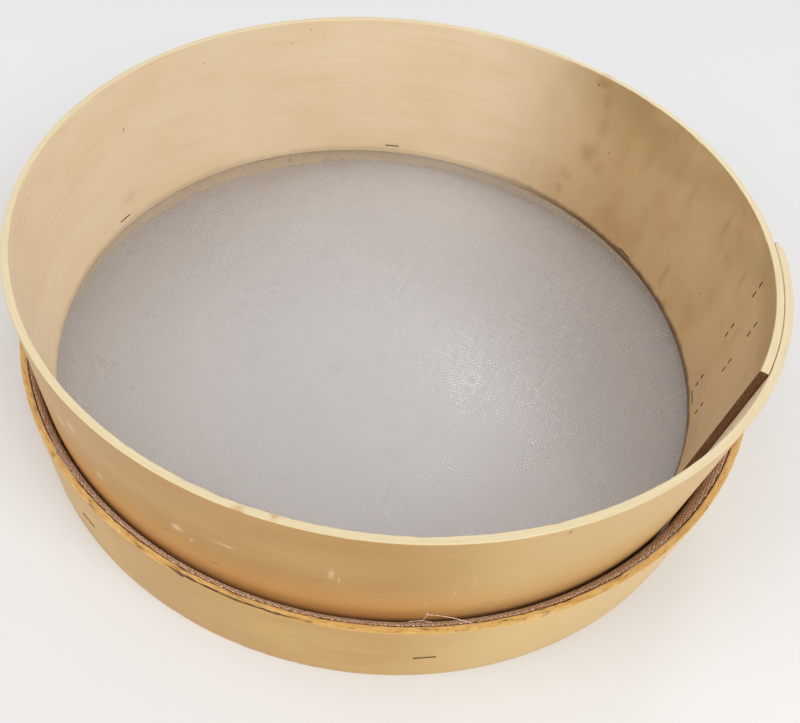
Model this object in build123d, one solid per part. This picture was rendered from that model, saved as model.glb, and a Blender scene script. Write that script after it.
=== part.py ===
from build123d import *

import os
from math import ceil, cos, degrees, radians, sin

# A round hand sieve: two bentwood hoops, one inside the other, that grip a round of
# woven wire cloth between them. Every piece is held by wire staples.
#
# Millimetres, +Z up. The sieve stands on the lower hoop, at Z = 0. Angles are measured
# counter-clockwise from +X, seen from above.

# ---- driving dimensions ---------------------------------------------------------------

TOTAL_HEIGHT = 120.0         # ground to rim
UPPER_RADIUS = 198.6         # outside of the upper hoop's first half turn
UPPER_THICKNESS = 3.8        # plywood strip
UPPER_LAP_START = -34.0      # angle of the strip's inner end
UPPER_LAP = 28.0             # how far the strip laps over itself
UPPER_DRIFT = 2.4            # the inner end sits this much closer to the axis

LOWER_HEIGHT = 54.7
LOWER_RADIUS = 208.8         # outside of the lower hoop's first half turn
LOWER_THICKNESS = 3.4
LOWER_LAP_START = 100.0
LOWER_LAP = 25.0
LOWER_DRIFT = 1.0

LAP_GAP = 0.25               # hairline between the two layers of a lap
SCARF_LENGTH = 9.0           # the outer end of each strip is thinned over this length
SCARF_NOSE = 1.2             # thickness left at its tip
EDGE_SOFTENING = 0.4         # broken corners along the hoops' long edges

CLOTH_LEVEL = 16.0           # underside of the wire cloth
CLOTH_THICKNESS = 0.6
COLLAR_RADIUS = 201.2        # inside of the turned-up cloth
COLLAR_BEND = 0.7            # tight bend under the upper hoop's foot
FLARE_RISE = 3.6             # the cut edge springs out over this height ...
FLARE_OUT = 3.5              # ... by this much
WIRES_PER_INCH = (18, 16)    # the real weave, two families of wire
WIRE_ANGLES = (60.0, 145.5)
WIRES_PER_BAR = (24, 21)     # each bar of the cloth stands for this many wires
BAR_WIDTH = 6.0
BAR_RISE = 0.18              # one family of bars lies this much over the other
WEAVE_RADIUS = 191.5         # the open weave stops short of the upper hoop's foot
SMALLEST_CELL = 60.0         # area below which a cell cut off by the edge stays closed

STAPLE_CROWN = 10.6          # width of a No. 13 fine-wire staple
STAPLE_WIDTH = 0.75
STAPLE_THICKNESS = 0.6
STAPLE_PROUD = 0.2           # how far a crown stands off the wood
CLINCH = 3.6                 # bent-over tip
TIP_COVER = 0.9              # wood left over the tip of a staple that isn't clinched

# (angle, height, tilt) of each staple's crown
RING_STAPLES_INSIDE = ((85, 23, 0), (152, 24.5, 0), (25, 21.5, 4), (-14, 24, 0))
RING_STAPLES_OUTSIDE = ((-85, 25, 5), (-135.6, 27, 0))
UPPER_LAP_STAPLES = ((-11.4, 104), (-11.3, 73), (-17.8, 96), (-17.8, 68), (-12.6, 34.5), (-19, 34.4))
LOWER_LAP_STAPLES = ((108, 10), (117, 27), (108, 44))

SPLIT_START = -117.0         # a split along the lower hoop's top outer corner
SPLIT_END = -103.0
SPLIT_WIDTH = 0.7
SPLIT_DEPTH = 1.6
SPLIT_INSET = 0.9
CHIP_ANGLES = (-117.0, -71.0)
CHIP_SIZE = (2.6, 1.5, 0.9)  # along the edge, across it, down

INCH = 25.4
CLOTH_TOP = CLOTH_LEVEL + CLOTH_THICKNESS
HALF_TURN = 180.0
TURN = 360.0


def along(angle):
    """Unit vector at an angle round the axis."""
    return Vector(cos(radians(angle)), sin(radians(angle)))


# ---- bent strips ----------------------------------------------------------------------


class BentStrip:
    """A strip bent once round and lapped over its own start.

    The strip follows half-turn arcs about two centres. Each half turn grows by half the
    strip's thickness, so that the lap lies on the start with only a hairline between.
    """

    def __init__(self, radius, thickness, start, lap, drift):
        self.thickness = thickness
        self.start = start
        self.end = start + TURN + lap
        growth = thickness + LAP_GAP
        first = along(start) * -drift
        second = first + along(start) * (growth / 2)
        self.arcs = (
            (first, radius, start, start + HALF_TURN),
            (second, radius + growth / 2, start + HALF_TURN, start + TURN),
            (first, radius + growth, start + TURN, self.end),
        )

    def outside(self, angle, outer_layer=True):
        """Distance from the axis to the outside face at an angle."""
        turned = (angle - self.start) % TURN
        if outer_layer and turned + TURN <= self.end - self.start:
            turned += TURN
        index = min(int(turned // HALF_TURN), 2)
        centre, radius, _, _ = self.arcs[index]
        ahead = centre.dot(along(angle))
        aside = centre.cross(along(angle)).Z
        return ahead + (radius**2 - aside**2) ** 0.5

    def inside(self, angle, outer_layer=False):
        return self.outside(angle, outer_layer) - self.thickness

    def face(self, inset, end_angle):
        """One long face of the strip as a chain of arcs, set in from the outside."""
        chain = []
        for centre, radius, begin, finish in self.arcs:
            chain.append(CenterArc(centre, radius - inset, begin, min(finish, end_angle) - begin))
        return chain

    def profile(self):
        """The strip seen from above, with its outer end thinned to a rounded nose."""
        last_centre, last_radius, _, _ = self.arcs[-1]
        scarf_angle = degrees(SCARF_LENGTH / last_radius)
        outer = self.face(0, self.end - scarf_angle)
        inner = self.face(self.thickness, self.end)
        shoulder = outer[-1] @ 1
        nose = last_centre + along(self.end) * (last_radius - self.thickness + SCARF_NOSE)
        scarf = TangentArc(shoulder, nose, tangent=outer[-1] % 1)
        caps = [Line(outer[0] @ 0, inner[0] @ 0), Line(nose, inner[-1] @ 1)]
        return make_face(outer + inner + caps + [scarf])

    def solid(self, base, height):
        strip = extrude(Pos(0, 0, base) * self.profile(), height)
        levels = strip.edges().group_by(Axis.Z)
        long_edges = levels[0].filter_by(GeomType.CIRCLE) + levels[-1].filter_by(GeomType.CIRCLE)
        return chamfer(long_edges, EDGE_SOFTENING)


UPPER = BentStrip(UPPER_RADIUS, UPPER_THICKNESS, UPPER_LAP_START, UPPER_LAP, UPPER_DRIFT)
LOWER = BentStrip(LOWER_RADIUS, LOWER_THICKNESS, LOWER_LAP_START, LOWER_LAP, LOWER_DRIFT)


def upper_hoop():
    return UPPER.solid(CLOTH_TOP, TOTAL_HEIGHT - CLOTH_TOP)


def lower_hoop():
    hoop = LOWER.solid(0, LOWER_HEIGHT)
    for damage in (edge_split(), *map(edge_chip, CHIP_ANGLES)):
        hoop -= damage
    return hoop


def edge_split():
    """A narrow crack in the top face that follows the outer corner."""
    radius = LOWER.outside(SPLIT_START) - SPLIT_INSET
    sweep_angle = SPLIT_END - SPLIT_START
    section = Plane.XZ * Pos(radius, LOWER_HEIGHT) * Rectangle(SPLIT_WIDTH, 2 * SPLIT_DEPTH)
    return Rot(0, 0, SPLIT_START) * revolve(section, Axis.Z, sweep_angle)


def edge_chip(angle):
    """A flake lost from the top outer corner."""
    length, width, drop = CHIP_SIZE
    corner = Pos(LOWER.outside(angle), 0, LOWER_HEIGHT)
    flake = extrude(Plane.XY.offset(-drop) * Ellipse(width, length), 2 * drop)
    return Rot(0, 0, angle) * corner * flake


# ---- wire cloth -----------------------------------------------------------------------


def cloth_blank():
    """The cloth without its weave: a disc, a tight bend and a collar that flares open."""
    half = CLOTH_THICKNESS / 2
    middle = COLLAR_RADIUS + half
    collar_top = LOWER_HEIGHT - half - FLARE_RISE
    path = Polyline(
        (0, CLOTH_LEVEL + half),
        (middle - COLLAR_BEND, CLOTH_LEVEL + half),
        (middle, CLOTH_LEVEL + half + COLLAR_BEND),
        (middle, collar_top),
        (middle + FLARE_OUT, collar_top + FLARE_RISE),
    )
    section = trace(path, CLOTH_THICKNESS)
    return revolve(Plane.XZ * section, Axis.Z)


def bar_pitch(family):
    return WIRES_PER_BAR[family] * INCH / WIRES_PER_INCH[family]


def stripes_between_bars(family):
    """The spaces between one family of bars, cut off at the edge of the weave."""
    pitch = bar_pitch(family)
    count = 2 * ceil(WEAVE_RADIUS / pitch)
    stripe = Rectangle(2 * WEAVE_RADIUS, pitch - BAR_WIDTH)
    stripes = Sketch() + [place * stripe for place in GridLocations(0, pitch, 1, count)]
    return Circle(WEAVE_RADIUS) & (Rot(0, 0, WIRE_ANGLES[family]) * stripes)


def wire_cloth():
    """The cloth as flat bars that cross, one family over the other, with open cells."""
    over, under = (stripes_between_bars(family) for family in (0, 1))
    cells = [cell for cell in (over & under).faces() if cell.area > SMALLEST_CELL]
    cloth = cloth_blank()
    cloth -= extrude(Pos(0, 0, CLOTH_TOP - BAR_RISE) * over, BAR_RISE)
    cloth -= extrude(Pos(0, 0, CLOTH_LEVEL) * under, BAR_RISE)
    return cloth - extrude(Pos(0, 0, CLOTH_LEVEL) * (Sketch() + cells), CLOTH_THICKNESS)


# ---- staples --------------------------------------------------------------------------


def staple(crown_middle, crown_direction, leg_direction, depth, tip=STAPLE_THICKNESS):
    """A flat-wire staple. Its legs end straight, or their tips bend towards each other."""
    height = depth + STAPLE_THICKNESS
    ring = Rectangle(STAPLE_CROWN, height)
    ring -= Rectangle(STAPLE_CROWN - 2 * STAPLE_THICKNESS, height - 2 * STAPLE_THICKNESS)
    mouth = Pos(0, depth / 2) * Rectangle(STAPLE_CROWN - 2 * tip, STAPLE_THICKNESS)
    outline = Pos(0, depth / 2) * (ring - mouth)
    plane = Plane(crown_middle, x_dir=crown_direction, z_dir=crown_direction.cross(leg_direction))
    return extrude(plane * outline, STAPLE_WIDTH / 2, both=True)


def crown_inset():
    """Depth of a crown's middle line under the face that it is driven into."""
    return STAPLE_THICKNESS / 2 - STAPLE_PROUD


def ring_staple(angle, height, tilt, outward):
    """A staple through both hoops and the cloth, with its tips hidden in the far hoop."""
    radial = along(angle)
    tangent = Vector(0, 0, 1).cross(radial)
    crown = tangent * cos(radians(tilt)) + Vector(0, 0, sin(radians(tilt)))
    if outward:
        radius = UPPER.inside(angle) + crown_inset()
        depth = LOWER.outside(angle, outer_layer=False) - TIP_COVER - radius
        legs = radial
    else:
        radius = LOWER.outside(angle) - crown_inset()
        depth = radius - UPPER.inside(angle) - TIP_COVER
        legs = -radial
    middle = radial * radius + Vector(0, 0, height)
    return staple(middle, crown, legs, depth)


def lap_staple(strip, angle, height):
    """An upright staple through both layers of a lap, clinched on the inside."""
    radial = along(angle)
    radius = strip.outside(angle) - crown_inset()
    depth = radius - strip.inside(angle) - crown_inset()
    middle = radial * radius + Vector(0, 0, height)
    return staple(middle, Vector(0, 0, 1), -radial, depth, tip=CLINCH)


def staple_groups():
    return {
        "ring_staples_inside": [ring_staple(*place, outward=True) for place in RING_STAPLES_INSIDE],
        "ring_staples_outside": [ring_staple(*place, outward=False) for place in RING_STAPLES_OUTSIDE],
        "upper_lap_staples": [lap_staple(UPPER, *place) for place in UPPER_LAP_STAPLES],
        "lower_lap_staples": [lap_staple(LOWER, *place) for place in LOWER_LAP_STAPLES],
    }


# ---- the sieve ------------------------------------------------------------------------


def sieve():
    """Every piece in place, with the origin on the ground under the middle."""
    staples = staple_groups()
    pieces = {
        "upper_hoop": upper_hoop(),
        "lower_hoop": lower_hoop(),
        "wire_cloth": wire_cloth(),
    }
    pieces["wire_cloth"] -= pieces["lower_hoop"]
    driven = [wire for group in staples.values() for wire in group]
    for name in pieces:
        pieces[name] = pieces[name] - driven
    for name, group in staples.items():
        pieces[name] = Compound(group)
    middle = Compound(list(pieces.values())).bounding_box().center()
    return {name: Pos(-middle.X, -middle.Y, 0) * piece for name, piece in pieces.items()}


os.makedirs("parts", exist_ok=True)
for name, piece in sieve().items():
    export_step(piece, f"parts/{name}.step")
    box = piece.bounding_box()
    size = f"{box.size.X:.1f} x {box.size.Y:.1f} x {box.size.Z:.1f} mm"
    print(f"{name}: {len(piece.solids())} solids, {size}")
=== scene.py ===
# %% [markdown]
# # A bentwood hand sieve
#
# The sieve is two hoops of bent plywood, one inside the other, that grip a round of woven
# wire cloth. The construction model already holds each piece at its real size, so this
# script starts from it and never moves it. Everything here is in metres, +Z is up and the
# sieve stands on Z = 0.

# %% Load the construction model
import math

import bmesh
import bpy
import numpy as np
from mathutils import Matrix, Vector, noise


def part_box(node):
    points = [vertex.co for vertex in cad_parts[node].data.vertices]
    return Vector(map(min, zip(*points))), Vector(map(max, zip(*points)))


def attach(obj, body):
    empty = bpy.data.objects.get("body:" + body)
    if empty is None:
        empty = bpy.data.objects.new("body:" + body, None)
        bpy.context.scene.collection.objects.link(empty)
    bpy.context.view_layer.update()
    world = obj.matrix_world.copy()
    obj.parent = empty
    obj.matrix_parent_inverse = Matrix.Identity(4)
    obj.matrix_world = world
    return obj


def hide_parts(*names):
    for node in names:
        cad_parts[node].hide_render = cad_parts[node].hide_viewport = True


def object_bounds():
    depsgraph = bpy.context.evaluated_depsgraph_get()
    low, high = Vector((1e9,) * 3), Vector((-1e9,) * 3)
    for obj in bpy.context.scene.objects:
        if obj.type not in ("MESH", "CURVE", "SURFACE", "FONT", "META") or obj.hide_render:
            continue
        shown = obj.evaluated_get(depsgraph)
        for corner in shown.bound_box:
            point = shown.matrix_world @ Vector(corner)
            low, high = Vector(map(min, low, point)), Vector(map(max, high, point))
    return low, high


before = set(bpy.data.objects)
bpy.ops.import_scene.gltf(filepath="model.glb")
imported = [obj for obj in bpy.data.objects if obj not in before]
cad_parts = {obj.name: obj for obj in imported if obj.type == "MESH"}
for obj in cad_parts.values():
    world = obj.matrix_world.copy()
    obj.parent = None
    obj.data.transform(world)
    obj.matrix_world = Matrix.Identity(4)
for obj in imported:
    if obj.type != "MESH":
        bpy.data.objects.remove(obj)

cad_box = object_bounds()
print("nodes:", ", ".join(sorted(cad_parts)))

# %% [markdown]
# ## Where the middle is
#
# The hoops lap over themselves, so the middle of the footprint isn't quite the axis that
# they were bent round. The cloth's collar is a true circle about that axis, so its box
# gives the axis. Angles below are measured counter-clockwise from +X, seen from above.

# %% The axis and the main levels
MM = 0.001
INCH = 0.0254

cloth_low, cloth_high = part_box("wire_cloth")
upper_low, upper_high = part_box("upper_hoop")
lower_low, lower_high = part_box("lower_hoop")
AXIS = Vector(((cloth_low.x + cloth_high.x) / 2, (cloth_low.y + cloth_high.y) / 2, 0))
RIM = upper_high.z
UPPER_FOOT = upper_low.z
LOWER_RIM = lower_high.z


def along(angle):
    """Unit vector at an angle in degrees round the axis."""
    return Vector((math.cos(math.radians(angle)), math.sin(math.radians(angle)), 0))


def at(angle, radius, height):
    """A point given by its angle, its distance from the axis and its height."""
    return AXIS + along(angle) * radius + Vector((0, 0, height))


print(f"axis at {AXIS.x / MM:.2f}, {AXIS.y / MM:.2f} mm; rim at {RIM / MM:.1f} mm")

# %% [markdown]
# ## Camera
#
# The sieve is seen from in front and well above, so that the cloth, the far inside wall
# and the near outside wall all show. The lens is a normal one. A small shift frames the
# sieve, as cropping a larger picture would.

# %% Place the camera
CAMERA_OFFSET = Vector((-40.8, -331.7, 376.0)) * MM    # from the axis at ground level
CAMERA_PITCH = 0.9202                                  # radians below the horizon
CAMERA_ROLL = 0.0431
LENS_MM = 34.39
SENSOR_MM = 36.0
SHIFT = (0.1158, 0.0529)

camera = bpy.data.objects.new("camera", bpy.data.cameras.new("camera"))
camera.data.lens = LENS_MM
camera.data.sensor_width = SENSOR_MM
camera.data.sensor_fit = "HORIZONTAL"
camera.data.shift_x, camera.data.shift_y = SHIFT
camera.data.clip_start = 0.01
turn = Matrix.Rotation(math.pi / 2 - CAMERA_PITCH, 4, "X") @ Matrix.Rotation(CAMERA_ROLL, 4, "Z")
camera.matrix_world = Matrix.Translation(AXIS + CAMERA_OFFSET) @ turn
bpy.context.scene.collection.objects.link(camera)
bpy.context.scene.camera = camera
print("camera at", [round(c, 3) for c in camera.matrix_world.translation])

# %% [markdown]
# ## Shader maths
#
# Every finish below is worked out from a few varying values: how far along the bent strip
# a point is, how deep in the ply, how high. Writing that as plain sums keeps it readable.
# A Field wraps one socket, and adding or multiplying Fields adds Math nodes.

# %% A socket that can be used in sums


class Field:
    """A value that varies over a surface: one output socket of a material's nodes."""

    def __init__(self, socket):
        self.socket = socket

    def node(self, kind, settings=None, inputs=None, output=0):
        """Add a node of this kind; inputs may be Fields, numbers or colours."""
        tree = self.socket.id_data
        added = tree.nodes.new(kind)
        for name, value in (settings or {}).items():
            setattr(added, name, value)
        for name, value in (inputs or {}).items():
            if isinstance(value, Field):
                tree.links.new(value.socket, added.inputs[name])
            else:
                added.inputs[name].default_value = value
        return Field(added.outputs[output])

    def math(self, operation, *others, clamp=False):
        values = dict(enumerate((self, *others)))
        return self.node("ShaderNodeMath", {"operation": operation, "use_clamp": clamp}, values)

    def vector(self, operation, other, output=0):
        return self.node("ShaderNodeVectorMath", {"operation": operation}, {0: self, 1: other}, output)

    def __add__(self, other):
        return self.math("ADD", other)

    def __sub__(self, other):
        return self.math("SUBTRACT", other)

    def __rsub__(self, other):
        return self.node("ShaderNodeMath", {"operation": "SUBTRACT"}, {0: other, 1: self})

    def __mul__(self, other):
        return self.math("MULTIPLY", other)

    def __truediv__(self, other):
        return self.math("DIVIDE", other)

    __radd__ = __add__
    __rmul__ = __mul__

    def clamped(self):
        return self.math("ADD", 0.0, clamp=True)

    def step(self, start, end):
        """0 before start, 1 after end, smooth between. start may be past end."""
        return self.node(
            "ShaderNodeMapRange",
            {"interpolation_type": "SMOOTHSTEP"},
            {"Value": self, "From Min": start, "From Max": end, "To Min": 0.0, "To Max": 1.0},
        )

    def near(self, centre, reach):
        """1 at centre, falling to 0 at this distance from it."""
        return (self - centre).math("ABSOLUTE").step(reach, 0.0)

    def part(self, index):
        return self.node("ShaderNodeSeparateXYZ", inputs={0: self}, output=index)

    def noise(self, scale, detail=2.0, rough=0.5):
        inputs = {"Vector": self, "Scale": scale, "Detail": detail, "Roughness": rough}
        return self.node("ShaderNodeTexNoise", inputs=inputs)

    def blend(self, low, high):
        """Mix two colours, or colour Fields, by this value."""
        settings = {"data_type": "RGBA", "clamp_factor": True}
        return self.node("ShaderNodeMix", settings, {0: self, 6: low, 7: high}, output=2)


def new_finish(name):
    """A material with its shader, and a Field of the place in the object."""
    material = bpy.data.materials.new(name)
    material.use_nodes = True
    shader = material.node_tree.nodes["Principled BSDF"]
    place = material.node_tree.nodes.new("ShaderNodeTexCoord").outputs["Object"]
    return material, shader, Field(place)


def drive(shader, **fields):
    """Link Fields to the shader's sockets; an underscore stands for a space."""
    tree = shader.id_data
    for name, field in fields.items():
        tree.links.new(field.socket, shader.inputs[name.replace("_", " ")])


def bump(height, strength, distance):
    inputs = {"Height": height, "Strength": strength, "Distance": distance}
    return height.node("ShaderNodeBump", inputs=inputs)


print("shader maths ready")

# %% [markdown]
# ## Studio
#
# A plain pale floor, an even white surround and a few large soft lamps. Their total is
# set so that a surface facing up renders about as bright as its colour is written. The
# surround is brighter for the camera and for shiny wires than it is as a light, which
# keeps the background pale without flattening the sieve. The far window stands behind the
# sieve, because only a lamp there is mirrored towards the camera by the polished wires.

# %% Floor, surround and lamps


def paint(red, green, blue):
    """A colour written 0-255, as a paint chart gives it, made linear for a shader."""
    parts = [channel / 255 for channel in (red, green, blue)]
    return (*(p / 12.92 if p <= 0.04045 else ((p + 0.055) / 1.055) ** 2.4 for p in parts), 1.0)


def link_piece(name, bm, smooth=True):
    """Turn a bmesh into a piece of the scene."""
    mesh = bpy.data.meshes.new(name)
    bm.to_mesh(mesh)
    bm.free()
    mesh.polygons.foreach_set("use_smooth", [smooth] * len(mesh.polygons))
    piece = bpy.data.objects.new(name, mesh)
    bpy.context.scene.collection.objects.link(piece)
    return piece


FLOOR_SIZE = 12.0
FLOOR_COLOUR = paint(227, 228, 230)
SURROUND_LIGHT = 0.6
SURROUND_SEEN = 0.93
SURROUND_COLOUR = (1.0, 0.99, 0.98, 1.0)
WHITE, DAYLIGHT = (1.0, 1.0, 1.0), (1.0, 0.98, 0.95)

floor_mesh = bmesh.new()
bmesh.ops.create_grid(floor_mesh, x_segments=1, y_segments=1, size=FLOOR_SIZE / 2)
floor = link_piece("floor", floor_mesh, smooth=False)
floor_finish, floor_shader, _ = new_finish("pale_floor")
floor_shader.inputs["Base Color"].default_value = FLOOR_COLOUR
floor_shader.inputs["Roughness"].default_value = 1.0
floor_shader.inputs["Specular IOR Level"].default_value = 0.0
floor.data.materials.append(floor_finish)

world = bpy.data.worlds.new("surround")
bpy.context.scene.world = world
world.use_nodes = True
backdrop = world.node_tree.nodes["Background"]
rays = world.node_tree.nodes.new("ShaderNodeLightPath").outputs
seen = Field(rays["Is Camera Ray"]) + Field(rays["Is Glossy Ray"]) + Field(rays["Is Transmission Ray"])
backdrop.inputs["Color"].default_value = SURROUND_COLOUR
strength = seen.clamped() * (SURROUND_SEEN - SURROUND_LIGHT) + SURROUND_LIGHT
world.node_tree.links.new(strength.socket, backdrop.inputs["Strength"])


def softbox(name, place, aim, size, power, colour):
    """A square soft lamp at a place, aimed at a point; both from the sieve's axis, in metres."""
    lamp = bpy.data.objects.new(name, bpy.data.lights.new(name, "AREA"))
    lamp.data.size = size
    lamp.data.energy = power
    lamp.data.color = colour
    lamp.location = AXIS + Vector(place)
    lamp.rotation_euler = (Vector(aim) - Vector(place)).to_track_quat("-Z", "Y").to_euler()
    bpy.context.scene.collection.objects.link(lamp)


softbox("window", (1.0, -1.1, 1.35), aim=(0, 0, 0.06), size=1.0, power=17.5, colour=DAYLIGHT)
softbox("ceiling", (-0.9, 0.0, 1.7), aim=(0, 0, 0.06), size=1.2, power=6.0, colour=WHITE)
softbox("far_window", (0.85, 1.6, 1.2), aim=(0.05, 0.05, 0.016), size=0.5, power=5.0, colour=WHITE)
softbox("left_wall", (-1.6, -0.6, 0.9), aim=(0, 0, 0.08), size=0.9, power=8.0, colour=DAYLIGHT)

view = bpy.context.scene.view_settings
view.view_transform = "Standard"
print(f"surround {SURROUND_LIGHT}, seen as {SURROUND_SEEN}")

# %% [markdown]
# ## Bent strips
#
# Each hoop is one long strip of thin plywood, bent round until it laps over its own start.
# It could be spun up as a ring, but then the grain would have to be guessed from angles.
# Here the strip is cut straight first, as in the workshop. Its section is a rectangle with
# broken corners, drawn out along its length. The straight measures are kept on each vertex
# as the attribute "strip" (run, depth, height), and only then is the strip bent. The finish
# reads "strip", so its grain follows the wood round every bend.

# %% A strip and its bend


class Strip:
    """A straight strip and the way it is bent: half turns about two centres."""

    def __init__(self, radius, thickness, low, high, lap_start, lap, drift):
        self.radius, self.thickness = radius, thickness
        self.low, self.high = low, high
        self.lap_start = lap_start
        self.length = math.radians(360 + lap) * radius
        growth = (thickness + LAP_GAP) / 2
        first = AXIS - along(lap_start) * drift
        second = first + along(lap_start) * growth
        self.centres = np.array([first, second, first])
        self.radii = np.array([radius, radius + growth, radius + 2 * growth])

    def run(self, angle):
        """How far along the strip an angle round the axis lies, in the strip's inner layer."""
        return math.radians((angle - self.lap_start) % 360) * self.radius

    def bend(self, straight):
        """Where points (run, depth, height) of the straight strip end up."""
        run, depth, height = straight.T
        turned = run / self.radius
        half = np.clip((turned // math.pi).astype(int), 0, 2)
        angle = math.radians(self.lap_start) + turned
        reach = self.radii[half] - depth
        plan = self.centres[half]
        plan_x = plan[:, 0] + reach * np.cos(angle)
        plan_y = plan[:, 1] + reach * np.sin(angle)
        return np.stack([plan_x, plan_y, height], axis=1)


LAP_GAP = 0.25 * MM
UPPER = Strip(198.6 * MM, 3.8 * MM, UPPER_FOOT, RIM, lap_start=-34, lap=28, drift=2.4 * MM)
LOWER = Strip(208.8 * MM, 3.4 * MM, 0.0, LOWER_RIM, lap_start=100, lap=25, drift=1.0 * MM)
print(f"strips are {UPPER.length:.3f} m and {LOWER.length:.3f} m long")

# %% [markdown]
# The section is one face. Its corners are rounded by a vertex bevel, and a few cuts across
# it give the top edge enough points for chips and cracks. It is drawn out along X to the
# whole length in one move, and the long edges are then divided into short steps.

# %% Cut a straight strip
CORNER = 0.45 * MM


def divide_along_x(bm, steps):
    """Cut every edge that runs along X into equal steps."""
    def runs_along(edge):
        start, end = (vert.co for vert in edge.verts)
        return abs(end.x - start.x) > (end - start).length * 0.9
    long_edges = [edge for edge in bm.edges if runs_along(edge)]
    bmesh.ops.subdivide_edges(bm, edges=long_edges, cuts=steps - 1, use_grid_fill=True)


def straight_strip(strip, spacing, depth_cuts=(), height_cuts=()):
    """A bmesh of the straight strip: X is the run, Y the depth, Z the height."""
    bm = bmesh.new()
    bmesh.ops.create_grid(bm, x_segments=1, y_segments=1, size=0.5)
    tall = strip.high - strip.low
    stand = Matrix(((0, 0, 1, 0), (strip.thickness, 0, 0, strip.thickness / 2),
                    (0, tall, 0, strip.low + tall / 2), (0, 0, 0, 1)))
    bmesh.ops.transform(bm, matrix=stand, verts=bm.verts)
    bmesh.ops.bevel(bm, geom=bm.verts[:], offset=CORNER, offset_type="OFFSET", segments=3,
                    profile=0.5, affect="VERTICES", material=-1)
    cuts = [((0, depth, 0), (0, 1, 0)) for depth in depth_cuts]
    cuts += [((0, 0, height), (0, 0, 1)) for height in height_cuts]
    for place, across in cuts:
        everything = bm.verts[:] + bm.edges[:] + bm.faces[:]
        bmesh.ops.bisect_plane(bm, geom=everything, dist=1e-7, plane_co=place, plane_no=across)
    drawn = bmesh.ops.extrude_face_region(bm, geom=bm.faces[:])
    far_end = [element for element in drawn["geom"] if isinstance(element, bmesh.types.BMVert)]
    bmesh.ops.translate(bm, vec=(strip.length, 0, 0), verts=far_end)
    divide_along_x(bm, round(strip.length / spacing))
    bmesh.ops.recalc_face_normals(bm, faces=bm.faces)
    return bm


print(f"the strips' corners are rounded by {CORNER / MM:.2f} mm")

# %% [markdown]
# The outer end of each strip is planed down to a thin nose, so that the lap has no hard
# step. Long edges of real plywood are never quite straight either: they carry small bites
# where fibres have torn away. Both are made on the straight strip, before it is bent.

# %% Plane the end, wear the edges and bend
SCARF_LENGTH = 9 * MM
SCARF_NOSE = 1.2 * MM
BITE_REACH = 1.3 * MM
BITE_LENGTH, NICK_LENGTH = 0.013, 0.003


def plane_the_end(straight, strip):
    """Thin the last stretch of the strip from its outside face."""
    into = np.clip((straight[:, 0] - (strip.length - SCARF_LENGTH)) / SCARF_LENGTH, 0, 1)
    lost = (strip.thickness - SCARF_NOSE) * into**2
    straight[:, 1] = lost + straight[:, 1] * (strip.thickness - lost) / strip.thickness


def bite(run, seed, length, depth):
    """How deep the edge is torn at a run: nothing for most of it, then a small hollow."""
    wave = noise.fractal((run / length, seed, 0.0), 0.6, 2.2, 3)
    return depth * min(1.0, max(0.0, wave - 0.25) * 1.6)


def wear_edges(straight, strip, edges):
    """Round and bite the long edges. edges: (depth side, height, seed, bite size)."""
    for side, height, seed, size in edges:
        corner = np.array([side * strip.thickness, height])
        away = np.hypot(straight[:, 1] - corner[0], straight[:, 2] - corner[1])
        inward = np.array([strip.thickness / 2 - corner[0], (strip.low + strip.high) / 2 - height])
        inward = np.sign(inward)
        for index in np.nonzero(away < BITE_REACH)[0]:
            fade = 1 - away[index] / BITE_REACH
            run = straight[index, 0]
            lost = bite(run, seed, BITE_LENGTH, size) + bite(run, seed + 7.7, NICK_LENGTH, size * 0.5)
            straight[index, 1] += inward[0] * lost * fade * 0.8
            straight[index, 2] += inward[1] * lost * fade


def read_points(mesh):
    points = np.empty(len(mesh.vertices) * 3)
    mesh.vertices.foreach_get("co", points)
    return points.reshape(-1, 3)


def write_points(mesh, points):
    mesh.vertices.foreach_set("co", points.ravel())
    mesh.update()


def bend_strip(piece, strip, straight):
    """Keep the straight measures as an attribute, then bend the mesh."""
    measures = piece.data.attributes.new("strip", "FLOAT_VECTOR", "POINT")
    measures.data.foreach_set("vector", straight.ravel().astype(np.float32))
    write_points(piece.data, strip.bend(straight))


print(f"ends thinned to {SCARF_NOSE / MM:.1f} mm over {SCARF_LENGTH / MM:.0f} mm")

# %% [markdown]
# The upper hoop is the tall one that a hand holds. Its edges are only lightly bitten, so
# steps of 2 mm along the strip are fine enough, and they also keep the bend round.

# %% The upper hoop
UPPER_SPACING = 2.0 * MM
UPPER_DEPTHS = [1.2 * MM, 2.6 * MM]
UPPER_HEIGHTS = [RIM - 0.9 * MM, RIM - 2 * MM, UPPER_FOOT + 2 * MM]
upper_cut = straight_strip(UPPER, UPPER_SPACING, UPPER_DEPTHS, UPPER_HEIGHTS)
upper_hoop = link_piece("upper_hoop_wood", upper_cut)
upper_straight = read_points(upper_hoop.data)
plane_the_end(upper_straight, UPPER)
wear_edges(upper_straight, UPPER, [(0, RIM, 3.1, 0.35 * MM), (1, RIM, 9.4, 0.35 * MM),
                                   (0, UPPER_FOOT, 5.2, 0.3 * MM)])
bend_strip(upper_hoop, UPPER, upper_straight)
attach(upper_hoop, "root")
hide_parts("upper_hoop")
print("upper hoop:", len(upper_hoop.data.polygons), "faces")

# %% [markdown]
# The lower hoop's top edge is the most knocked part of the sieve. Besides the small bites
# it has two chips and a long crack that runs beside the outer corner, where a ply has
# started to lift.

# %% The lower hoop, with its crack and chips
LOWER_SPACING = 1.2 * MM
CRACK_INSET = 0.9 * MM
CRACK_HALF_WIDTH = 0.35 * MM
CRACK_DEPTH = 1.6 * MM
CRACK_ANGLES = (-117, -103)
CHIP_ANGLES = (-117, -71)
CHIP_LENGTH, CHIP_WIDTH, CHIP_DROP = 2.6 * MM, 1.5 * MM, 0.9 * MM
CRACK_RUNOUT = 8 * MM
TOP_LAYER = 0.3 * MM


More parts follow.
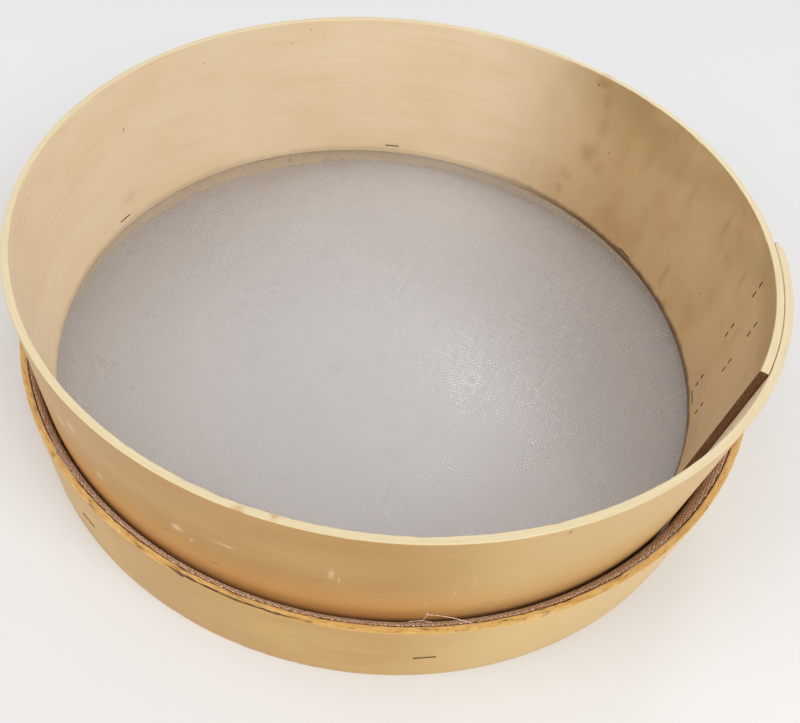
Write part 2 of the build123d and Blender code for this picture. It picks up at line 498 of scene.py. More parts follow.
def open_crack(straight, strip):
    start, end = (strip.run(angle) for angle in CRACK_ANGLES)
    run, depth, height = straight.T
    along_crack = np.clip(np.minimum(run - start, end - run) / CRACK_RUNOUT, 0, 1)
    beside = np.clip(1 - np.abs(depth - CRACK_INSET) / CRACK_HALF_WIDTH, 0, 1)
    top = height > strip.high - TOP_LAYER
    straight[:, 2] -= np.where(top, CRACK_DEPTH * along_crack * beside, 0)


def knock_chips(straight, strip):
    for angle in CHIP_ANGLES:
        run, depth, height = straight.T
        inside = 1 - ((run - strip.run(angle)) / CHIP_LENGTH) ** 2 - (depth / CHIP_WIDTH) ** 2
        floor_of_chip = strip.high - CHIP_DROP * np.sqrt(np.clip(inside, 0, 1))
        near_top = (inside > 0) & (height > floor_of_chip)
        straight[:, 2] = np.where(near_top, floor_of_chip, height)


LOWER_DEPTHS = [CRACK_INSET + offset * CRACK_HALF_WIDTH for offset in (-1, 0, 1)]
LOWER_DEPTHS += [1.9 * MM, 2.6 * MM]
LOWER_HEIGHTS = [LOWER_RIM - 0.9 * MM, LOWER_RIM - 1.8 * MM, 2 * MM]
lower_cut = straight_strip(LOWER, LOWER_SPACING, LOWER_DEPTHS, LOWER_HEIGHTS)
lower_hoop = link_piece("lower_hoop_wood", lower_cut)
lower_straight = read_points(lower_hoop.data)
plane_the_end(lower_straight, LOWER)
open_crack(lower_straight, LOWER)
knock_chips(lower_straight, LOWER)
wear_edges(lower_straight, LOWER, [(0, LOWER_RIM, 1.7, 0.8 * MM), (1, LOWER_RIM, 6.3, 0.5 * MM),
                                   (0, 0.0, 8.8, 0.4 * MM)])
bend_strip(lower_hoop, LOWER, lower_straight)
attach(lower_hoop, "root")
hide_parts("lower_hoop")
print("lower hoop:", len(lower_hoop.data.polygons), "faces")

# %% [markdown]
# ## Wood
#
# Plywood shows three kinds of surface. The face veneers have long soft streaks that run
# with the strip. The edges show the plies as pale bands with a fine glue line between
# them. The cut end shows open end grain. Which one a point shows follows from its depth in
# the strip and its run, so one finish covers the whole hoop.

# %% Shared parts of the wood finish


def strip_measures(place):
    """The straight strip's run, depth and height, and all three as a vector."""
    settings = {"attribute_name": "strip"}
    measures = place.node("ShaderNodeAttribute", settings, output=1)
    return measures, measures.part(0), measures.part(1), measures.part(2)


SKIN_FROM, SKIN_TO = 0.30 * MM, 0.05 * MM


def faces_of(depth, thickness):
    """1 on the outer face, and 1 on the inner face; both fade over the rounded corners."""
    outer = depth.step(SKIN_FROM, SKIN_TO)
    inner = depth.step(thickness - SKIN_FROM, thickness - SKIN_TO)
    return outer, inner


def sized(strip, *sizes):
    """Scale a strip so that a noise has features of these sizes in mm: along, deep, high."""
    return strip.vector("MULTIPLY", tuple(1 / (size * MM) for size in sizes))


def spot(run, height, centre, size, ragged):
    """A blurred mark at (run, height), size (along, up), its outline broken by a noise."""
    across = (run - centre[0]) / size[0]
    up = (height - centre[1]) / size[1]
    away = (across * across + up * up).math("SQRT") + (ragged - 0.5) * 1.6
    return away.step(1.0, 0.0)


def marks(run, height, strip, places, ragged):
    """All marks of one kind: (angle, below the rim, length, height, strength) in mm."""
    total = None
    for angle, below, length, tall, amount in places:
        centre = (strip.run(angle), strip.high - below * MM)
        mark = spot(run, height, centre, (length * MM / 2, tall * MM / 2), ragged) * amount
        total = mark if total is None else total.math("MAXIMUM", mark)
    return total


print("wood helpers ready")

# %% [markdown]
# The upper hoop has been used for years. Its inside is stained on the right, the rim has a
# few small burns, and the outside is scuffed. Each mark has its own place, where a random
# pattern couldn't put it. So the marks are short lists: angle round the hoop in degrees,
# then distance below the rim, length and height in mm, and strength.

# %% Marks on the upper hoop
INNER_STAINS = (
    (43, 5, 20, 10, 0.9), (41, 14, 12, 26, 0.7), (40, 30, 14, 26, 0.6), (41, 52, 20, 30, 0.8),
    (38, 58, 14, 18, 0.6), (45, 76, 18, 20, 0.7), (45, 88, 12, 14, 0.8), (5, 20, 9, 38, 0.8),
    (1, 30, 7, 30, 0.7), (13, 84, 9, 26, 0.8), (9, 96, 12, 14, 0.8), (28, 28, 16, 40, 0.5),
    (22, 50, 24, 34, 0.5), (16, 30, 14, 44, 0.5), (31, 66, 20, 24, 0.4), (-6, 26, 8, 20, 0.7),
    (-14, 42, 6, 20, 0.7), (-2, 12, 14, 12, 0.5), (2, 74, 12, 16, 0.4), (150, 82, 26, 16, 0.3),
)
GRIME_ANGLES = (70, 30)      # the right-hand inside is darker between here and the lap
# Height of the dark band at the foot of the inside: painted shade where the wall meets the cloth, with some
# grime.
FOOT_SHADE_AND_GRIME = 6 * MM
# Painted sheen: from these angles round to the right, the outer face is painted paler, where the window's
# light glances off it.
PAINTED_SHEEN_ANGLES = (-91, -74)      # the outer face turns paler over these angles
PAINTED_LIGHT_BELOW = (80 * MM, 58 * MM)    # heights below which the outer face is painted lighter and warmer: painted light
INNER_DOTS = (
    (44, 7, 2.2, 2.0, 0.9), (37, 44, 2.2, 2.2, 0.9), (2, 64, 2.0, 2.6, 0.7), (148, 33, 2.2, 3.0, 0.9),
    (104, 6, 1.6, 1.6, 0.8), (108, 14, 2.6, 1.2, 0.7), (127, 15, 1.8, 1.6, 0.7),
    (179, 12, 2.0, 2.0, 0.6), (172, 43, 1.6, 1.6, 0.6),
)
OUTER_SCUFFS = (
    (-118, 39, 9, 8, 0.9), (-116, 44, 4, 5, 0.8), (-111, 34, 12, 3, 0.9), (-98, 32, 4, 12, 0.6),
    (-97, 38, 1.2, 10, 0.7), (-83, 44, 1.0, 26, 0.6), (-81, 36, 0.9, 20, 0.5), (-86, 56, 1.0, 10, 0.5),
    (-104, 23, 22, 1.0, 0.5), (-140, 30, 14, 10, 0.5), (-132, 45, 12, 9, 0.5), (-136, 22, 9, 12, 0.4),
    (-76, 58, 14, 1.0, 0.6), (-70, 30, 1.0, 18, 0.4),
)
OUTER_DOTS = (
    (-113, 56, 6, 1.2, 0.8), (-120, 47, 5, 1.2, 0.7), (-72, 3, 3, 5, 0.6), (-85, 13, 2, 2, 0.4),
    (-78, 60, 8, 1, 0.5), (-92, 44, 9, 1, 0.4),
)
RIM_BURNS = ((-109, 0, 9, 3, 0.6), (-105, 0, 5, 2, 0.5), (43, 0, 12, 3, 0.5))
GLUE_LINES, GLUE_BLUR = (1.25 * MM, 2.5 * MM), 0.14 * MM
OLIVE_REACH = 45 * MM        # how far below the rim the wood has gone olive

print(len(INNER_STAINS) + len(INNER_DOTS), "marks inside,", len(OUTER_SCUFFS) + len(OUTER_DOTS), "outside")

# %% Colours, grain and edges of the upper hoop
UPPER_COLOURS = {
    "inner": (paint(243, 225, 194), paint(232, 205, 164)),
    "outer": (paint(192, 149, 82), paint(174, 128, 60)),
    "pale": paint(216, 182, 120),
    "painted_light_low": paint(222, 166, 104),
    "edge": (paint(220, 205, 168), paint(204, 184, 142)),
    "stain": paint(168, 120, 62),
    "foot": paint(92, 64, 38),
    "damp": paint(194, 156, 104),
    "olive": paint(150, 126, 74),
    "dot": paint(58, 38, 22),
    "scuff": paint(232, 204, 164),
    "burn": paint(176, 118, 58),
    "pore": paint(62, 34, 16),
    "end": paint(126, 84, 46),
}

upper_finish, shader, place = new_finish("pale_ply")
strip, run, depth, height = strip_measures(place)
is_outer, is_inner = faces_of(depth, UPPER.thickness)
is_end = run.step(SKIN_FROM, SKIN_TO)

streaks = sized(strip, 90, 2, 2.2).noise(1.0, detail=5.0, rough=0.62)
fibres = sized(strip, 12, 1, 0.4).noise(1.0, detail=2.0)
clouds = sized(strip, 70, 2, 30).noise(1.0, detail=3.0)
chatter = sized(strip, 7, 2, 400).noise(1.0, detail=2.0)
ragged = sized(strip, 12, 2, 16).noise(1.0, detail=6.0, rough=0.65)

tone = (streaks.step(0.25, 0.8) * 0.45 + clouds.step(0.3, 0.7) * 0.4 + chatter * 0.2).clamped()
glue = (depth.near(GLUE_LINES[0], GLUE_BLUR) + depth.near(GLUE_LINES[1], GLUE_BLUR)).clamped()
edge_tone = glue * 0.3 + fibres.step(0.4, 0.8) * 0.4 + clouds.step(0.3, 0.7) * 0.3
edge = edge_tone.clamped().blend(*UPPER_COLOURS["edge"])
burns = marks(run, height, UPPER, RIM_BURNS, ragged) * fibres.step(0.3, 0.6)
edge = burns.blend(edge, UPPER_COLOURS["burn"])
print("edge of the upper hoop:", len(upper_finish.node_tree.nodes), "nodes")

# %% Inner face of the upper hoop
inner = tone.blend(*UPPER_COLOURS["inner"])
grime = run.step(*(UPPER.run(angle) for angle in GRIME_ANGLES))
inner = (grime * 0.8).blend(inner, UPPER_COLOURS["damp"])
rim_olive = (RIM - height).step(OLIVE_REACH, 0) * clouds.step(0.3, 0.6) * grime * 0.55
inner = rim_olive.blend(inner, UPPER_COLOURS["olive"])
mottle = sized(strip, 35, 2, 50).noise(1.0, detail=5.0, rough=0.6).step(0.42, 0.8)
stains = marks(run, height, UPPER, INNER_STAINS, ragged) * 0.55
stains = stains.math("MAXIMUM", mottle * grime * 0.5)
inner = stains.blend(inner, UPPER_COLOURS["stain"])
# Painted shade, with some grime: a ragged dark band along the foot of the inside, where the wall meets the
# cloth, strongest on the right.
foot_shade_and_grime = (height - UPPER_FOOT + (ragged - 0.5) * FOOT_SHADE_AND_GRIME).step(FOOT_SHADE_AND_GRIME, FOOT_SHADE_AND_GRIME / 3)
inner = (foot_shade_and_grime * (grime * 0.7 + 0.2)).blend(inner, UPPER_COLOURS["foot"])
dots = marks(run, height, UPPER, INNER_DOTS, fibres)
inner = dots.blend(inner, UPPER_COLOURS["dot"])
print("with the inner face:", len(upper_finish.node_tree.nodes), "nodes")

# %% Outer face and cut end of the upper hoop
PORE_DEEP, PORE_HIGH = 0.9 * MM, 0.35 * MM
WOOD_COAT = 0.3
COAT_ROUGHNESS = 0.35

outer = tone.blend(*UPPER_COLOURS["outer"])
# Painted light: low on the outer face, just above the collar, the wood is painted lighter and warmer
# against the shade there.
outer = (height.step(*PAINTED_LIGHT_BELOW) * 0.6).blend(outer, UPPER_COLOURS["painted_light_low"])
# Painted sheen: the outer face is painted paler towards the right, where the window's light glances off it.
painted_sheen = run.step(*(UPPER.run(angle) for angle in PAINTED_SHEEN_ANGLES)) * 0.6
outer = painted_sheen.blend(outer, UPPER_COLOURS["pale"])
scuffs = marks(run, height, UPPER, OUTER_SCUFFS, ragged) * 0.8
outer = scuffs.blend(outer, UPPER_COLOURS["scuff"])
outer = marks(run, height, UPPER, OUTER_DOTS, fibres).blend(outer, UPPER_COLOURS["dot"])

# The cut end is end grain, painted darker still as painted shade of the gap behind it at the lap.
pores = strip.vector("MULTIPLY", (0.0, 1 / PORE_DEEP, 1 / PORE_HIGH)).noise(1.0, detail=3.0)
end = pores.step(0.4, 0.62).blend(UPPER_COLOURS["end"], UPPER_COLOURS["pore"])
wood = is_outer.blend(edge, outer)
wood = is_inner.blend(wood, inner)
wood = is_end.blend(wood, end)
drive(shader, Base_Color=wood, Roughness=streaks * 0.15 + 0.4, Coat_Weight=is_outer * WOOD_COAT,
      Normal=bump(streaks * 0.5 + fibres * 0.5, 0.2, 0.12 * MM))
shader.inputs["Coat Roughness"].default_value = COAT_ROUGHNESS
upper_hoop.data.materials.append(upper_finish)
print("pale ply:", len(upper_finish.node_tree.nodes), "nodes")

# %% [markdown]
# The lower hoop is a warmer, more golden ply. It takes the knocks when the sieve is tapped
# on a bench, so its top edge is flecked dark where fibres have torn. The dark line of the
# split wanders, because a noise moves it sideways, and it fades out at both ends.

# %% Marks and colours of the lower hoop
LOWER_KNOCKS = (
    (-152, 0, 8, 8, 0.6), (-143, 0, 6, 6, 0.6), (-133, 0, 12, 6, 0.7), (-124, 0, 12, 6, 0.8),
    (-117, 0, 20, 10, 1.0), (-109, 0, 16, 8, 0.8), (-100, 0, 6, 5, 0.6), (-71, 0, 6, 8, 0.8),
)
PAINTED_SHEEN_ENDS = (20, -30)
CRACK_WANDER, CRACK_BLUR = 1.6 * MM, 0.8 * MM
CRACK_FADES_IN, CRACK_FADES_OUT = (-121, -117), (-99, -104)
LOWER_COLOURS = {
    "outer": (paint(202, 162, 86), paint(180, 134, 62)),
    "pale": paint(222, 190, 124),
    "inner": (paint(252, 230, 192), paint(242, 212, 166)),
    "edge": (paint(216, 178, 108), paint(190, 142, 74)),
    "fleck": paint(112, 70, 32),
    "crack": paint(66, 38, 18),
}
print(len(LOWER_KNOCKS), "knocks on the lower rim")

# %% Finish of the lower hoop
lower_finish, shader, place = new_finish("golden_ply")
strip, run, depth, height = strip_measures(place)
is_outer, is_inner = faces_of(depth, LOWER.thickness)
streaks = sized(strip, 80, 2, 1.8).noise(1.0, detail=5.0, rough=0.6)
fibres = sized(strip, 6, 0.5, 0.5).noise(1.0, detail=3.0)
clouds = sized(strip, 60, 2, 30).noise(1.0, detail=3.0)
ragged = sized(strip, 6, 1.5, 6).noise(1.0, detail=5.0, rough=0.65)
tone = (streaks.step(0.25, 0.8) * 0.5 + clouds.step(0.3, 0.7) * 0.45).clamped()
outer = tone.blend(*LOWER_COLOURS["outer"])
# Painted sheen: the outer face is painted paler from the front round to the right, fading out again further
# round.
painted_sheen = run.step(*(LOWER.run(angle) for angle in PAINTED_SHEEN_ANGLES)) * 0.7
painted_sheen = painted_sheen * run.step(*(LOWER.run(angle) for angle in PAINTED_SHEEN_ENDS))
outer = painted_sheen.blend(outer, LOWER_COLOURS["pale"])

edge = fibres.step(0.35, 0.75).blend(*LOWER_COLOURS["edge"])
flecks = sized(strip, 6, 0.8, 0.8).noise(1.0, detail=3.0).step(0.6, 0.72)
knocks = marks(run, height, LOWER, LOWER_KNOCKS, ragged) * fibres.step(0.4, 0.6)
edge = (flecks * 0.8).math("MAXIMUM", knocks).blend(edge, LOWER_COLOURS["fleck"])
crack_side = depth - CRACK_INSET + (ragged - 0.5) * CRACK_WANDER
along_crack = run.step(*(LOWER.run(angle) for angle in CRACK_FADES_IN))
along_crack = along_crack * run.step(*(LOWER.run(angle) for angle in CRACK_FADES_OUT))
crack = crack_side.near(0.0, CRACK_BLUR) * along_crack
edge = crack.blend(edge, LOWER_COLOURS["crack"])
wood = is_outer.blend(edge, outer)
wood = is_inner.blend(wood, tone.blend(*LOWER_COLOURS["inner"]))
drive(shader, Base_Color=wood, Roughness=streaks * 0.15 + 0.4, Coat_Weight=is_outer * WOOD_COAT,
      Normal=bump(streaks * 0.5 + fibres * 0.5, 0.3, 0.15 * MM))
shader.inputs["Coat Roughness"].default_value = COAT_ROUGHNESS
lower_hoop.data.materials.append(lower_finish)
print("golden ply:", len(lower_finish.node_tree.nodes), "nodes")

# %% [markdown]
# ## Wire cloth
#
# The cloth is plain woven: each wire passes over one crossing wire and under the next. It
# could be a picture of a weave on a thin sheet, but light really passes through a sieve and
# glints off each wire, so here every wire is modelled. A triangular section is set out
# once for each wire, then all are drawn out together, one short run per crossing. Raising
# and lowering alternate crossings weaves them. The field is cut round and pressed over the
# upper hoop's foot by following the collar's profile.

# %% Weave a field of wires
WIRE_ANGLES = (60.0, 145.5)
WIRE_PITCHES = (INCH / 18, INCH / 16)
WIRE_RADIUS = 0.165 * MM
WEAVE_RISE = 0.14 * MM
FAMILY_SLANT = math.radians(WIRE_ANGLES[1] - WIRE_ANGLES[0])


def wire_field(family, reach, side):
    """One family's wires over half a square field, straight and flat, then woven."""
    pitch = WIRE_PITCHES[family]
    crossing = WIRE_PITCHES[1 - family] / math.sin(FAMILY_SLANT)
    slip = pitch / math.tan(FAMILY_SLANT) * (1 if family == 0 else -1)
    rows = math.ceil(reach / pitch)
    columns = math.ceil(reach / crossing) + 1
    bm = bmesh.new()
    bmesh.ops.create_circle(bm, radius=WIRE_RADIUS, segments=3, cap_ends=False)
    first_row = 0 if side > 0 else 1
    start = (-columns * crossing + first_row * side * slip, first_row * side * pitch, 0)
    upright = Matrix.Translation(start) @ Matrix.Rotation(math.pi / 2, 4, "Y")
    bmesh.ops.transform(bm, matrix=upright, verts=bm.verts)
    bmesh.ops.spin(bm, geom=bm.verts[:] + bm.edges[:], cent=(0, 0, 0), axis=(0, 0, 1), angle=0,
                   dvec=(slip * side, pitch * side, 0), steps=rows - 1, use_duplicate=True)
    drawn = bmesh.ops.extrude_edge_only(bm, edges=bm.edges[:])
    far_ends = [element for element in drawn["geom"] if isinstance(element, bmesh.types.BMVert)]
    bmesh.ops.translate(bm, vec=(2 * columns * crossing, 0, 0), verts=far_ends)
    divide_along_x(bm, 2 * columns)
    for vert in bm.verts:
        row = round(vert.co.y / pitch)
        column = round((vert.co.x - row * slip) / crossing)
        over = 1 if (row + column + family) % 2 else -1
        vert.co.z += over * WEAVE_RISE
    return bm


def cut_ring(bm, inner_radius, outer_radius):
    """Keep the wires between two radii and close the ends that are cut straight across."""
    def outside(vert):
        return not inner_radius <= vert.co.xy.length <= outer_radius
    bmesh.ops.delete(bm, geom=[vert for vert in bm.verts if outside(vert)], context="VERTS")
    loose = [vert for vert in bm.verts if not vert.link_faces]
    bmesh.ops.delete(bm, geom=loose, context="VERTS")
    ends = [edge for edge in bm.edges if edge.is_boundary]
    bmesh.ops.holes_fill(bm, edges=ends, sides=3)


print("a wire every", " and ".join(f"{pitch / MM:.2f}" for pitch in WIRE_PITCHES), "mm")

# %% [markdown]
# The maker lays the flat cloth over the upper hoop's lower edge and pushes the lower hoop
# over both. The cloth then turns up sharply, and its cut edge springs outwards. Sculpting
# that bend by hand would stretch the wires. Here the collar's profile is a line in radius
# and height, and each point of the flat cloth keeps its distance from the middle along it.

# %% Press the cloth over the hoop
CLOTH_MIDDLE = 16.3 * MM
COLLAR_RADIUS = 201.5 * MM
COLLAR_BEND = 0.7 * MM
FLARE = np.array([(0, 46), (0.9, 50), (2.0, 52.4), (3.2, 54.0)]) * MM    # outward, height
FLARE_OUT = FLARE[-1][0]
FLARE_CLEARANCE = 0.5 * MM

PROFILE = np.array([
    (0, CLOTH_MIDDLE), (COLLAR_RADIUS - COLLAR_BEND, CLOTH_MIDDLE),
    (COLLAR_RADIUS, CLOTH_MIDDLE + COLLAR_BEND), *(FLARE + (COLLAR_RADIUS, 0)),
])
PROFILE_RUN = np.concatenate([[0], np.cumsum(np.hypot(*np.diff(PROFILE, axis=0).T))])
CLOTH_REACH = PROFILE_RUN[-1]


def flare_stretch(around):
    """How much wider than FLARE_OUT the flare may spring before it meets the lower hoop."""
    turned = (around - math.radians(LOWER.lap_start)) % (2 * math.pi)
    half = (turned // math.pi).astype(int)
    centre = LOWER.centres[half] - np.array(AXIS)
    ahead = centre[:, 0] * np.cos(around) + centre[:, 1] * np.sin(around)
    inside = ahead + LOWER.radii[half] - LOWER.thickness
    return (inside - FLARE_CLEARANCE - COLLAR_RADIUS) / FLARE_OUT


def press(points, angle):
    """Turn flat cloth to its angle, then lay it along the collar's profile."""
    run = np.hypot(points[:, 0], points[:, 1])
    around = np.arctan2(points[:, 1], points[:, 0]) + math.radians(angle)
    leg = np.clip(np.searchsorted(PROFILE_RUN, run, side="right") - 1, 0, len(PROFILE) - 2)
    lean = np.diff(PROFILE, axis=0)[leg] / np.diff(PROFILE_RUN)[leg][:, None]
    section = PROFILE[leg] + lean * (run - PROFILE_RUN[leg])[:, None]
    flared = np.maximum(section[:, 0] - COLLAR_RADIUS, 0) * flare_stretch(around)
    radius = np.minimum(section[:, 0], COLLAR_RADIUS) + flared - lean[:, 1] * points[:, 2]
    height = section[:, 1] + lean[:, 0] * points[:, 2]
    return np.stack([AXIS.x + radius * np.cos(around), AXIS.y + radius * np.sin(around), height], axis=1)


def plan_uv(mesh, points):
    """A plain plan map for the bake, since no pattern follows these thin wires."""
    uv = mesh.uv_layers.new(name="OFBake")
    corners = np.empty(len(mesh.loops), dtype=np.int32)
    mesh.loops.foreach_get("vertex_index", corners)
    plan = points[corners][:, :2] / (cad_box[1].x - cad_box[0].x) + 0.5
    uv.data.foreach_set("uv", np.clip(plan, 0, 1).ravel().astype(np.float32))


def cloth_piece(name, bm, angle):
    """Turn flat woven wires into a finished piece of the cloth."""
    piece = link_piece(name, bm)
    points = press(read_points(piece.data), angle)
    write_points(piece.data, points)
    plan_uv(piece.data, points)
    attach(piece, "root")
    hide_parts("wire_cloth")
    print(f"{name}: {len(piece.data.polygons)} faces")
    return piece


print(f"the cloth was cut {CLOTH_REACH * 2 / MM:.0f} mm across")

# %% [markdown]
# Only two parts of the cloth show: the flat disc, and the rim of the collar that stands
# out between the hoops. So only those are woven. Each comes in four pieces, one for each
# family of wires and each half, because a single piece would hold too many faces.

# %% Cut the disc and the rim of the collar
DISC_RADIUS = 203.6 * MM
COLLAR_SHOWN = 9.5 * MM
cloth_pieces = []


def cut_cloth(part, inner_radius, outer_radius):
    """Weave one part of the cloth, as four pieces."""
    for family, family_name in enumerate(("warp", "weft")):
        for side, side_name in ((1, "near"), (-1, "far")):
            field = wire_field(family, outer_radius, side)
            cut_ring(field, inner_radius, outer_radius)
            name = f"{family_name}{part}_{side_name}"
            cloth_pieces.append(cloth_piece(name, field, WIRE_ANGLES[family]))


cut_cloth("", 0, DISC_RADIUS)
cut_cloth("_edge", CLOTH_REACH - COLLAR_SHOWN, CLOTH_REACH)

# %% [markdown]
# Between the hoops the cloth is pinched and can hardly be seen. There one thin band stands
# for the crumpled layers: a line of points swept once round, then given its thickness.
# It backs the flare, so that no light falls through between the hoops.

# %% The pinched middle of the collar
BAND_THICKNESS = 0.3 * MM
BAND_FOOT = 18.5 * MM
BAND_DROP = 0.8 * MM
BAND_STEPS = 240
FLARE_STARTS = COLLAR_RADIUS + 0.5 * MM
band_path = [(COLLAR_RADIUS, BAND_FOOT)]
band_path += [(COLLAR_RADIUS + out, height - BAND_DROP) for out, height in FLARE]
band = bmesh.new()
corners = [band.verts.new((radius, 0, height)) for radius, height in band_path]
edges = [band.edges.new(pair) for pair in zip(corners, corners[1:])]
bmesh.ops.spin(band, geom=corners + edges, cent=(0, 0, 0), axis=(0, 0, 1),
               angle=2 * math.pi, steps=BAND_STEPS, use_merge=True)
for vert in band.verts:
    if vert.co.xy.length > FLARE_STARTS:
        around = np.array([math.atan2(vert.co.y, vert.co.x)])
        spread = (vert.co.xy.length - COLLAR_RADIUS) * (flare_stretch(around)[0] - 1)
        vert.co.xy += vert.co.xy.normalized() * spread
bmesh.ops.translate(band, vec=AXIS, verts=band.verts)
bmesh.ops.recalc_face_normals(band, faces=band.faces)
bmesh.ops.solidify(band, geom=band.faces[:], thickness=BAND_THICKNESS)
collar_band = link_piece("collar_band", band)
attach(collar_band, "root")
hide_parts("wire_cloth")
print("band:", len(collar_band.data.polygons), "faces")

# %% [markdown]
# At the front a few wires have come out of the cut edge and stand up against the upper
# hoop. Each is a short bent path, given point by point, along which a small circle is drawn out.

# %% Wires that came loose
# (angle, radius, height) along each, in degrees and mm
LOOSE_WIRES = (
    ((-87.2, 204.0, 52.5), (-86.6, 204.9, 55.4), (-86.2, 204.6, 59.0), (-85.8, 203.2, 62.4)),
    ((-85.9, 203.2, 60.2), (-84.6, 203.6, 60.0), (-82.6, 204.8, 58.8), (-80.8, 206.6, 57.2),
     (-79.8, 208.2, 55.6)),
    ((-88.4, 204.0, 53.0), (-87.6, 204.4, 56.0), (-86.4, 204.4, 56.6), (-84.9, 204.6, 54.6)),
)
LOOSE_RADIUS = 0.1 * MM
LOOSE_SIDES = 6


def draw_wire(bm, points):
    """Draw a thin wire through points, one straight length after another."""
    started = bmesh.ops.create_circle(bm, radius=LOOSE_RADIUS, segments=LOOSE_SIDES, cap_ends=True)["verts"]
    facing = (points[1] - points[0]).to_track_quat("Z", "Y").to_matrix().to_4x4()
    bmesh.ops.transform(bm, matrix=Matrix.Translation(points[0]) @ facing, verts=started)
    ring = [edge for edge in bm.edges if edge.verts[0] in started]
    for start, end in zip(points, points[1:]):
        drawn = bmesh.ops.extrude_edge_only(bm, edges=ring)["geom"]
        moved = [element for element in drawn if isinstance(element, bmesh.types.BMVert)]
        ring = [element for element in drawn if isinstance(element, bmesh.types.BMEdge)]
        ring = [edge for edge in ring if edge.verts[0] in moved and edge.verts[1] in moved]
        bmesh.ops.translate(bm, vec=end - start, verts=moved)
    bmesh.ops.holes_fill(bm, edges=ring, sides=LOOSE_SIDES)


loose = bmesh.new()
for path in LOOSE_WIRES:
    draw_wire(loose, [at(angle, radius * MM, height * MM) for angle, radius, height in path])
bmesh.ops.recalc_face_normals(loose, faces=loose.faces)
loose_wires = link_piece("loose_wires", loose)
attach(loose_wires, "root")
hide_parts("wire_cloth")
print("loose wires:", len(loose_wires.data.polygons), "faces")

# %% [markdown]
# The wire is bright and smooth, so it shows less of its own colour than of what it
# mirrors. In patches the tops of its crossings are polished smoother and painted near white
# as painted highlights. The patches follow single wires of either family, towards the back and right.
# The low parts of the weave are painted darker as painted shade between the crossings, and the
# collar is painted warm as a painted reflection of the wood, with white dots as painted highlights.

# %% Finish of the wire
POLISH_AND_HIGHLIGHT_LENGTH = 14 * MM
POLISH_AND_HIGHLIGHT_DEPTH = 100 * MM      # far more than the cloth's, so height makes no difference
POLISH_AND_HIGHLIGHT_SIDE = 60             # angle of the side with the most polish and painted highlights
TARNISH_SCALE, PATCH_SCALE, GLINT_SCALE, CRUMPLE_SCALE = 14.0, 26.0, 800.0, 700.0    # per metre
COLLAR_STARTS, COLLAR_FULL = 18 * MM, 40 * MM
WIRE_COLOURS = {
    "bright": (paint(255, 251, 252), paint(246, 242, 244)),
    # The dip colour is painted shade, the collar colour a painted reflection of the wood, and the polished
    # colour a painted highlight.
    "dip": paint(176, 166, 168),
    "collar": paint(240, 208, 178),
    "polished": paint(255, 253, 250),
    "pinched": (paint(136, 98, 70), paint(186, 146, 112)),
}
# Heights over which the wire goes from painted shade in the dips to its own bright colour on top.
DIPS, TOPS = CLOTH_MIDDLE - 0.06 * MM, CLOTH_MIDDLE + 0.18 * MM


def polished_and_highlighted_wires(place, family):
    """Single wires of one family, polished and given painted highlights over a short length."""
    settings = {"vector_type": "TEXTURE"}
    frame_of_family = {
        "Vector": place, "Location": AXIS, "Rotation": (0, 0, math.radians(WIRE_ANGLES[family])),
        "Scale": (POLISH_AND_HIGHLIGHT_LENGTH, WIRE_PITCHES[family], POLISH_AND_HIGHLIGHT_DEPTH),
    }
    return place.node("ShaderNodeMapping", settings, frame_of_family).noise(1.0, detail=1.0)


wire_finish, shader, place = new_finish("wire")
tarnish = place.noise(TARNISH_SCALE, detail=2.0)
collar_high = place.part(2).step(COLLAR_STARTS, COLLAR_FULL)
toward = place.vector("DOT_PRODUCT", tuple(along(POLISH_AND_HIGHLIGHT_SIDE)), output=1) / COLLAR_RADIUS
patches = (place.noise(PATCH_SCALE, detail=4.0, rough=0.6) + toward * 0.22).step(0.45, 0.74)
polished_and_highlighted = polished_and_highlighted_wires(place, 0).math("MAXIMUM", polished_and_highlighted_wires(place, 1)).step(0.5, 0.6)
tops = place.part(2).step(DIPS, TOPS)
# Polish with painted highlight: in patches the tops of crossings are made smoother and painted near white.
polish_and_highlight = polished_and_highlighted * patches * tops * (1.0 - collar_high)
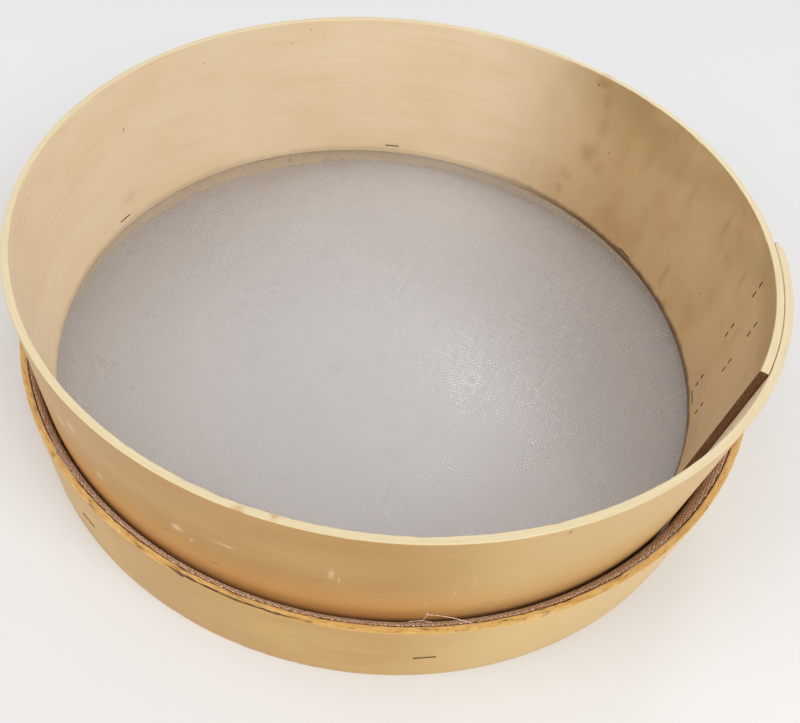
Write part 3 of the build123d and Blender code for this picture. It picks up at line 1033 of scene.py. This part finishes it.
# Painted highlights: white dots on the collar's wires.
glints = place.noise(GLINT_SCALE).step(0.48, 0.6) * collar_high
wire_tone = tarnish.step(0.3, 0.7).blend(*WIRE_COLOURS["bright"])
# Painted shade: the low parts of the weave, under the crossing wires, are painted darker.
wire_tone = tops.blend(WIRE_COLOURS["dip"], wire_tone)
# Painted reflection: the collar's wire is painted warm bronze for the wood it mirrors between the hoops.
wire_tone = collar_high.blend(wire_tone, WIRE_COLOURS["collar"])
wire_tone = polish_and_highlight.math("MAXIMUM", glints).blend(wire_tone, WIRE_COLOURS["polished"])
drive(shader, Base_Color=wire_tone, Roughness=(1.0 - polish_and_highlight) * 0.18 + 0.12,
      Metallic=0.8 - collar_high * 0.4)
for piece in (*cloth_pieces, loose_wires):
    piece.data.materials.append(wire_finish)
print("bright wire:", len(wire_finish.node_tree.nodes), "nodes")

# %% Finish of the pinched band
band_finish, shader, place = new_finish("pinched_wire")
# Painted shade and reflection: the band is painted dark warm brown for the narrow gap between the hoops and
# the wood it mirrors; the wire itself is bright.
band_tone = place.noise(CRUMPLE_SCALE, detail=2.0).step(0.35, 0.65).blend(*WIRE_COLOURS["pinched"])
shader.inputs["Metallic"].default_value = 0.3
shader.inputs["Roughness"].default_value = 0.55
drive(shader, Base_Color=band_tone)
collar_band.data.materials.append(band_finish)
print("pinched wire:", len(band_finish.node_tree.nodes), "nodes")

# %% [markdown]
# The staples are already right in the construction model, down to their clinched points,
# so they keep their own meshes and only get a finish: dark steel with specks of rust.

# %% Finish of the staples
STAPLE_STEEL, STAPLE_RUST = paint(44, 38, 33), paint(36, 23, 15)
RUST_SCALE = 900.0
STAPLE_NODES = ("ring_staples_inside", "ring_staples_outside", "upper_lap_staples", "lower_lap_staples")
staple_finish, shader, place = new_finish("staple")
rust = place.noise(RUST_SCALE, detail=3.0).step(0.45, 0.65)
shader.inputs["Metallic"].default_value = 0.3
drive(shader, Base_Color=rust.blend(STAPLE_STEEL, STAPLE_RUST), Roughness=rust * 0.3 + 0.5)
for name in STAPLE_NODES:
    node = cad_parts[name]
    node.data.materials.clear()
    node.data.materials.append(staple_finish)
print("staples:", len(STAPLE_NODES), "groups")
